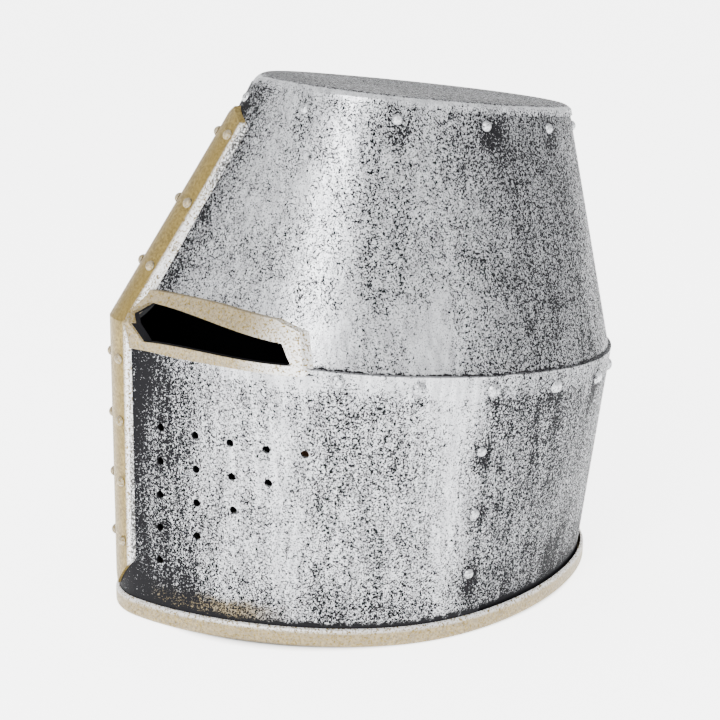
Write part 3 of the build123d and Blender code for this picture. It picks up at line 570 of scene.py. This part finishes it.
linen, tree, shader, place, axes = start_material("linen_quilted")
own = put(tree, "ShaderNodeSeparateXYZ", {0: put(tree, "ShaderNodeUVMap", uv_map="cloth").outputs[0]}).outputs
warp = calc(tree, "SINE", calc(tree, "MULTIPLY", own[0], 2 * pi * THREADS_PER_METRE))
weft = calc(tree, "SINE", calc(tree, "MULTIPLY", own[1], 2 * pi * THREADS_PER_METRE))
weave = calc(tree, "MULTIPLY", warp, weft)
slubs = grain(tree, stretch(tree, place, (900, 900, 120)), 1.0, 2.0)
stain = grain(tree, place, 28, 4.0, 0.6)
colour = mix(tree, spread(tree, stain, 0.35, 0.68), LINEN_DARK, LINEN_LIGHT)
colour = mix(tree, spread(tree, weave, -0.6, 0.9, 0.0, 0.35), colour, (0.15, 0.13, 0.10))
colour = mix(tree, spread(tree, slubs, 0.58, 0.75, 0.0, 0.4), colour, (0.19, 0.17, 0.13))
link(tree, colour, shader, "Base Color")
shader.inputs["Roughness"].default_value = 0.92
shader.inputs["Sheen Weight"].default_value = 0.25
bump(tree, shader, calc(tree, "ADD", weave, calc(tree, "MULTIPLY", slubs, 0.6)), 0.5, 0.0003)

# %% [markdown]
# ## The quilted cap
# A ring of 40 stuffed channels lies inside the plates. It could be inflated by a cloth simulation, but
# its channels are narrow and even, so each is given its crown by a rule, with a small random fullness.
# Rays from the helm's middle find the CAD liner's inner and outer faces, so the cap fills the same room.
# A closed section is walked round the helm: up the inner face, over the top, and down the outer face.

# %% Quilted cap
CHANNELS = 40
STEPS_PER_CHANNEL = 8
SECTION_STEPS = 18
SEAM_DEPTH = 0.0046
RAY_ENDS = (0.03, 0.97)                  # rays stay between these shares, where they meet the liner
CAP_BOTTOM, CAP_TOP = 0.022, 0.024       # above the waist, below the crown
END_ROUND = 0.10                         # share of the height over which each end closes
LEAST_FULL, FULLNESS_SPREAD = 0.86, 0.14
OUTER_SEAM_DEPTH = 0.25                  # the outer face is pulled in less at a seam, as a share
CAP_GIRTH = 0.62                         # length of cloth round the cap, for the weave
CLOTH_STEP = 0.006                       # length of cloth between two points of a section


def tree_of(names):
    """Ray-casting tree of some CAD nodes together."""
    points, faces = [], []
    for name in names:
        mesh = nodes[name].data
        start = len(points)
        points += [v.co.copy() for v in mesh.vertices]
        faces += [[start + i for i in polygon.vertices] for polygon in mesh.polygons]
    return BVHTree.FromPolygons(points, faces)


def wall_at(caster, angle, height):
    """Distances from the middle to the inner and outer faces, along a level ray."""
    way = Vector((sin(angle), -cos(angle), 0))
    start = Vector((0, AXIS_Y, height))
    near = caster.ray_cast(start, way)[3]
    far = caster.ray_cast(start + way * (near + 0.0005), way)[3]
    return near, near + 0.0005 + far


def cap_height(angle, reach, share):
    """Height at a share of the way from the cap's lower edge to its upper one."""
    y = AXIS_Y - cos(angle) * reach
    low = WAIST_HEIGHT + WAIST_SLOPE * y + CAP_BOTTOM
    high = CROWN_HEIGHT + CROWN_SLOPE * y - CAP_TOP
    return low + (high - low) * share


def channel_crown(phase):
    """0 at a seam and 1 over the middle of a channel."""
    return sqrt(max(0.0, 1 - abs(2 * phase - 1) ** 2.6))


def link_piece(name, points, faces, map_points=None):
    """Smooth mesh piece, with an optional cloth map of one (u, v) for each point."""
    mesh = bpy.data.meshes.new(name)
    mesh.from_pydata(points, [], faces)
    if map_points:
        layer = mesh.uv_layers.new(name="cloth")
        for loop in mesh.loops:
            layer.data[loop.index].uv = map_points[loop.vertex_index]
    mesh.shade_smooth()
    piece = bpy.data.objects.new(name, mesh)
    bpy.context.scene.collection.objects.link(piece)
    return piece


liner_halves = ["left_quilted_liner", "right_quilted_liner"]
liner_walls = tree_of(liner_halves)
columns = CHANNELS * STEPS_PER_CHANNEL
ring = 2 * SECTION_STEPS
shares = [0.5 - 0.5 * cos(pi * (i + 0.5) / SECTION_STEPS) for i in range(SECTION_STEPS)]
cap_points, cap_map, seam_lines = [], [], {}
for column in range(columns):
    angle = 2 * pi * column / columns
    channel, step = divmod(column, STEPS_PER_CHANNEL)
    crown = channel_crown(step / STEPS_PER_CHANNEL)
    inner, outer = [], []
    for share in shares:
        reach = 0.1
        for _ in range(3):
            height = cap_height(angle, reach, share)
            lowest, highest = (cap_height(angle, reach, end) for end in RAY_ENDS)
            near, far = wall_at(liner_walls, angle, min(max(height, lowest), highest))
            reach = near
        full = LEAST_FULL + FULLNESS_SPREAD * noise.noise((channel * 1.7, share * 4.0, 3.1))
        edge = min(share, 1 - share) / END_ROUND
        close = sqrt(max(0.0, 1 - (1 - min(edge, 1.0)) ** 2))
        middle = (near + far) / 2
        bulge = (middle - near) * close * (1 - (1 - crown) * SEAM_DEPTH / (middle - near)) * full
        back = (far - middle) * close * (1 - (1 - crown) * OUTER_SEAM_DEPTH)
        inner.append((sin(angle) * (middle - bulge), AXIS_Y - cos(angle) * (middle - bulge), height))
        outer.append((sin(angle) * (middle + back), AXIS_Y - cos(angle) * (middle + back), height))
    if step == 0:
        seam_lines[column] = inner
    section = inner + outer[::-1]
    cap_points += section
    around = column / columns * CAP_GIRTH
    cap_map += [(around, (i if i < SECTION_STEPS else ring - i) * CLOTH_STEP) for i in range(ring)]
cap_faces = [(column * ring + i, column * ring + (i + 1) % ring,
              (column + 1) % columns * ring + (i + 1) % ring, (column + 1) % columns * ring + i)
             for column in range(columns) for i in range(ring)]


def face_outwards(piece):
    """Welds doubles and turns every face outwards."""
    work = bmesh.new()
    work.from_mesh(piece.data)
    bmesh.ops.remove_doubles(work, verts=work.verts, dist=1e-6)
    bmesh.ops.recalc_face_normals(work, faces=work.faces)
    work.to_mesh(piece.data)
    work.free()
    piece.data.shade_smooth()


cap = link_piece("quilted_cap", cap_points, cap_faces, cap_map)
face_outwards(cap)
cap.data.materials.append(linen)
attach(cap, "helm")
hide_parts(*liner_halves)
print("quilted cap:", len(cap.data.polygons), "faces,", len(seam_lines), "seams")

# %% [markdown]
# ## The crown pad
# A flat stuffed cushion sits under the crown. Its under side is quilted in twelve spokes and one ring, like
# a round cushion that is sewn through. Lines of points go out from its middle, over its edge and back.

# %% Crown pad
PAD_SPOKES = 12
PAD_COLUMNS = 120
PAD_RINGS = 26
PAD_FROM, PAD_DEEP = 0.0023, 0.0130      # top and underside, below the crown
PAD_SEAM_RING = 0.45
PAD_EDGE_GAP = 0.985                     # share of the CAD pad's reach that the cushion keeps
UNDER_POLE, TOP_FLATNESS = 0.62, 0.95    # fullness at the middle below, and all over above

pad_walls = tree_of(["crown_pad"])
pad_points, pad_map = [], []
pad_middle_height = CROWN_HEIGHT + CROWN_SLOPE * AXIS_Y - (PAD_FROM + PAD_DEEP) / 2
for column in range(PAD_COLUMNS):
    angle = 2 * pi * column / PAD_COLUMNS
    way = Vector((sin(angle), -cos(angle), -CROWN_SLOPE * cos(angle)))
    edge_reach = pad_walls.ray_cast(Vector((0, AXIS_Y, pad_middle_height)), way)[3] * PAD_EDGE_GAP
    spoke = abs(sin(angle * PAD_SPOKES / 2))
    for i in range(1, PAD_RINGS):
        share = i / PAD_RINGS * 2
        under = share <= 1
        out = share if under else 2 - share
        out_at = sin(out * pi / 2)
        reach = edge_reach * out_at
        x, y = sin(angle) * reach, AXIS_Y - cos(angle) * reach
        rounding = sqrt(max(0.0, 1 - out_at ** 8))
        puff = UNDER_POLE + (1 - UNDER_POLE) * spoke ** 0.5 * min(1, 3 * out_at)
        puff *= 1 - 0.35 * max(0.0, 1 - abs(out_at - PAD_SEAM_RING) / 0.05)
        half = (PAD_DEEP - PAD_FROM) / 2 * rounding
        drop = half * (puff if under else -TOP_FLATNESS)
        pad_points.append((x, y, CROWN_HEIGHT + CROWN_SLOPE * y - (PAD_FROM + PAD_DEEP) / 2 - drop))
        pad_map.append((x, y))
pad_ring = PAD_RINGS - 1
for side in (UNDER_POLE, -TOP_FLATNESS):
    pad_points.append((0, AXIS_Y, pad_middle_height - (PAD_DEEP - PAD_FROM) / 2 * side))
    pad_map.append((0, AXIS_Y))
under_pole, top_pole = len(pad_points) - 2, len(pad_points) - 1
pad_faces = []
for column in range(PAD_COLUMNS):
    here, beside = column * pad_ring, (column + 1) % PAD_COLUMNS * pad_ring
    pad_faces += [(here + i, here + i + 1, beside + i + 1, beside + i) for i in range(pad_ring - 1)]
    pad_faces += [(under_pole, here, beside), (top_pole, beside + pad_ring - 1, here + pad_ring - 1)]
pad = link_piece("crown_cushion", pad_points, pad_faces, pad_map)
face_outwards(pad)
pad.data.materials.append(linen)
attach(pad, "helm")
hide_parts("crown_pad")
print("crown cushion:", len(pad.data.polygons), "faces")

# %% [markdown]
# ## Stitches
# Waxed linen thread closes every quilt seam, sews the leather bands and runs along both straps. A stitch
# is a short plump bead laid along its seam. Geometry Nodes put one bead on every point of a small seam
# mesh, turned by two vectors that each point carries: along the seam, and out of the cloth.

# %% Thread finish
thread, tree, shader, place, axes = start_material("waxed_thread")
twist = grain(tree, place, 2200, 2.0)
colour = mix(tree, spread(tree, twist, 0.35, 0.65), (0.16, 0.13, 0.085), (0.46, 0.40, 0.29))
link(tree, colour, shader, "Base Color")
shader.inputs["Roughness"].default_value = 0.6
bump(tree, shader, twist, 0.4, 0.0002)

# %% Stitch tree
def stitch_tree(material):
    """Geometry Nodes tree that lays a bead on every point, with named sizes."""
    tree = bpy.data.node_groups.new("stitches", "GeometryNodeTree")
    face = tree.interface
    face.new_socket("Seam points", in_out="INPUT", socket_type="NodeSocketGeometry")
    for name in ("Stitch length", "Stitch width", "Unevenness"):
        face.new_socket(name, in_out="INPUT", socket_type="NodeSocketFloat")
    face.new_socket("Stitches", in_out="OUTPUT", socket_type="NodeSocketGeometry")
    given, result = tree.nodes.new("NodeGroupInput"), tree.nodes.new("NodeGroupOutput")
    bead = put(tree, "GeometryNodeMeshUVSphere", {"Segments": 6, "Rings": 4, "Radius": 0.5})
    on_points = put(tree, "GeometryNodeInstanceOnPoints",
                    {"Points": given.outputs["Seam points"], "Instance": bead.outputs["Mesh"]})
    vectors = [put(tree, "GeometryNodeInputNamedAttribute", {"Name": name}, data_type="FLOAT_VECTOR")
               for name in ("along", "out")]
    lie = put(tree, "FunctionNodeAlignEulerToVector", {"Vector": vectors[0].outputs[0]}, axis="X")
    stand = put(tree, "FunctionNodeAlignEulerToVector",
                {"Rotation": lie.outputs[0], "Vector": vectors[1].outputs[0]}, axis="Z", pivot_axis="X")
    wobble = put(tree, "FunctionNodeRandomValue", {"Min": 0.85, "Max": 1.1, "Seed": 7}, data_type="FLOAT")
    uneven = put(tree, "ShaderNodeMix", {0: given.outputs["Unevenness"], 2: 1.0, 3: wobble.outputs[1]})
    length = calc(tree, "MULTIPLY", given.outputs["Stitch length"], uneven.outputs[0])
    size = put(tree, "ShaderNodeCombineXYZ", {0: length, 1: given.outputs["Stitch width"],
                                              2: given.outputs["Stitch width"]})
    tree.links.new(stand.outputs[0], on_points.inputs["Rotation"])
    tree.links.new(size.outputs[0], on_points.inputs["Scale"])
    real = put(tree, "GeometryNodeRealizeInstances", {0: on_points.outputs[0]})
    smooth = put(tree, "GeometryNodeSetShadeSmooth", {0: real.outputs[0]})
    paint_it = put(tree, "GeometryNodeSetMaterial", {"Geometry": smooth.outputs[0], "Material": material})
    tree.links.new(paint_it.outputs[0], result.inputs[0])
    return tree


stitches = stitch_tree(thread)
print("stitch tree:", len(stitches.nodes), "nodes")


# %% Laying stitches
def lay_stitches(name, seams, body, length, width):
    """One mesh of stitches from (point, along, out) triples, on one body."""
    mesh = bpy.data.meshes.new(name + "_seams")
    mesh.from_pydata([point for point, _, _ in seams], [], [])
    for label, column in (("along", 1), ("out", 2)):
        values = mesh.attributes.new(label, "FLOAT_VECTOR", "POINT").data
        for i, seam in enumerate(seams):
            values[i].vector = seam[column]
    carrier = bpy.data.objects.new(name + "_carrier", mesh)
    bpy.context.scene.collection.objects.link(carrier)
    modifier = carrier.modifiers.new("stitches", "NODES")
    modifier.node_group = stitches
    sockets = {item.name: item.identifier for item in stitches.interface.items_tree if item.in_out == "INPUT"}
    modifier[sockets["Stitch length"]] = length
    modifier[sockets["Stitch width"]] = width
    modifier[sockets["Unevenness"]] = 1.0
    bpy.context.view_layer.update()
    made = bpy.data.meshes.new_from_object(carrier.evaluated_get(bpy.context.evaluated_depsgraph_get()))
    bpy.data.objects.remove(carrier)
    piece = bpy.data.objects.new(name, made)
    bpy.context.scene.collection.objects.link(piece)
    if not made.materials:
        made.materials.append(thread)
    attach(piece, body)
    print(name + ":", len(seams), "stitches,", len(made.polygons), "faces")


def along_line(points, pitch, outward):
    """Evenly spaced (point, along, out) triples on a line of points."""
    seams, carried = [], pitch / 2
    for start, end in zip(points, points[1:]):
        start, end = Vector(start), Vector(end)
        span = (end - start).length
        while carried < span:
            point = start.lerp(end, carried / span)
            seams.append((point, (end - start).normalized(), outward(point)))
            carried += pitch
        carried -= span
    return seams


def to_middle(point):
    return Vector((-point.x, AXIS_Y - point.y, 0)).normalized()


QUILT_PITCH, BAND_PITCH, STRAP_PITCH = 0.0058, 0.0052, 0.0048

quilt_seams = []
for line in seam_lines.values():
    quilt_seams += along_line(line[1:-1], QUILT_PITCH, to_middle)
lay_stitches("quilt_stitches", quilt_seams, "helm", 0.0042, 0.0011)

# %% Band stitches
BAND_ROWS = (0.0205, 0.0402)      # above the waist, just inside the band's two edges
BAND_STEPS = 180
band_walls = tree_of(band_strips)
band_seams = []
for rise in BAND_ROWS:
    line, reach = [], 0.11
    for i in range(BAND_STEPS + 1):
        angle = 2 * pi * (i + 0.5) / BAND_STEPS
        for _ in range(3):
            height = WAIST_HEIGHT + WAIST_SLOPE * (AXIS_Y - cos(angle) * reach) + rise
            way = Vector((sin(angle), -cos(angle), 0))
            reach = band_walls.ray_cast(Vector((0, AXIS_Y, height)), way)[3] or reach
        line.append((way.x * reach, AXIS_Y + way.y * reach, height))
    band_seams += along_line(line, BAND_PITCH, to_middle)
lay_stitches("band_stitches", band_seams, "helm", 0.0036, 0.0010)

# %% Strap stitches
STRAP_EDGE_IN = 0.0024
STRAP_ROW_TOP = 0.158
for side, hand, low_end in (("left", 1, 0.086), ("right", -1, 0.044)):
    strap_wall = tree_of([side + "_chin_strap"])
    inward = Vector((-hand, 0, 0))
    edges = [corner[1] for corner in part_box(side + "_chin_strap")]
    strap_seams = []
    for y in (edges[0] + STRAP_EDGE_IN, edges[1] - STRAP_EDGE_IN):
        hits = [strap_wall.ray_cast(Vector((0, y, z)), -inward)[0] for z in (low_end, STRAP_ROW_TOP)]
        strap_seams += along_line(hits, STRAP_PITCH, lambda point: inward)
    lay_stitches(side + "_strap_stitches", strap_seams, side + "_strap", 0.0034, 0.0009)
